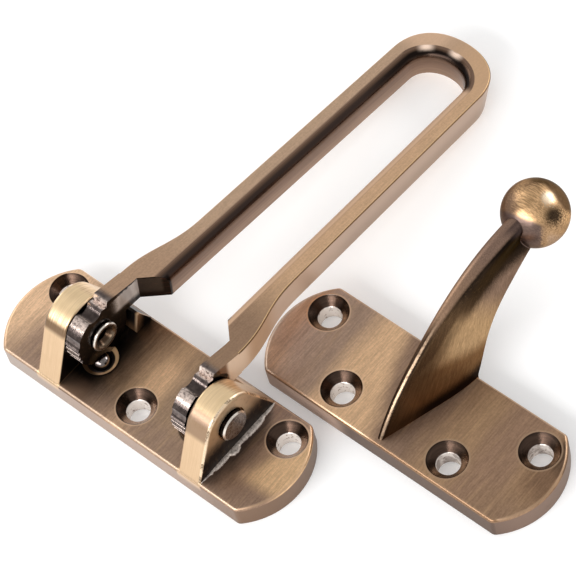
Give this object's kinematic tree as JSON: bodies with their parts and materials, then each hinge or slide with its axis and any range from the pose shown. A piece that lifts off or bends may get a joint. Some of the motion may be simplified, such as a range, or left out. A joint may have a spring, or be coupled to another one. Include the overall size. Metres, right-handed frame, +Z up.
{
  "type": "door latch",
  "caption": "Swing-bar door latch: a base plate whose lugs and sprung detents carry a U-shaped bar that swings over the ball-ended horn of a separate strike plate.",
  "frame": {"origin": "middle of the base plate's underside, where it lies on the door frame", "axes": "+X along both plates, +Y from the base plate towards the bar's closed end, +Z up out of the mounting surface"},
  "size_m": [0.1221, 0.1169, 0.03],
  "materials": {
    "antique_brass": "brushed antique patina",
    "steel": "bright"
  },
  "bodies": {
    "base": {"base_plate": "antique_brass", "strike_plate": "antique_brass", "pivot_pin_left": "steel", "pivot_pin_right": "steel", "detent_spring_left": "steel", "detent_spring_right": "steel"},
    "swing_bar": {"swing_bar": "antique_brass"},
    "ball_left": {"detent_ball_left": "steel"},
    "ball_right": {"detent_ball_right": "steel"}
  },
  "joints": [
    {"name": "bar_swing", "type": "hinge", "parent": "base", "child": "swing_bar", "pos_m": [0, 0.00015, 0.01385], "axis": [1, 0, 0], "range_deg": [0, 165]},
    {"name": "detent_left", "type": "slide", "parent": "base", "child": "ball_left", "axis": [0, 0, 1], "range_m": [0, 0.0013], "stiffness_N_per_m": 150, "springref_m": 0.0035, "deforming": ["detent_spring_left"]},
    {"name": "detent_right", "type": "slide", "parent": "base", "child": "ball_right", "axis": [0, 0, 1], "range_m": [0, 0.0013], "stiffness_N_per_m": 150, "springref_m": 0.0035, "deforming": ["detent_spring_right"]}
  ]
}
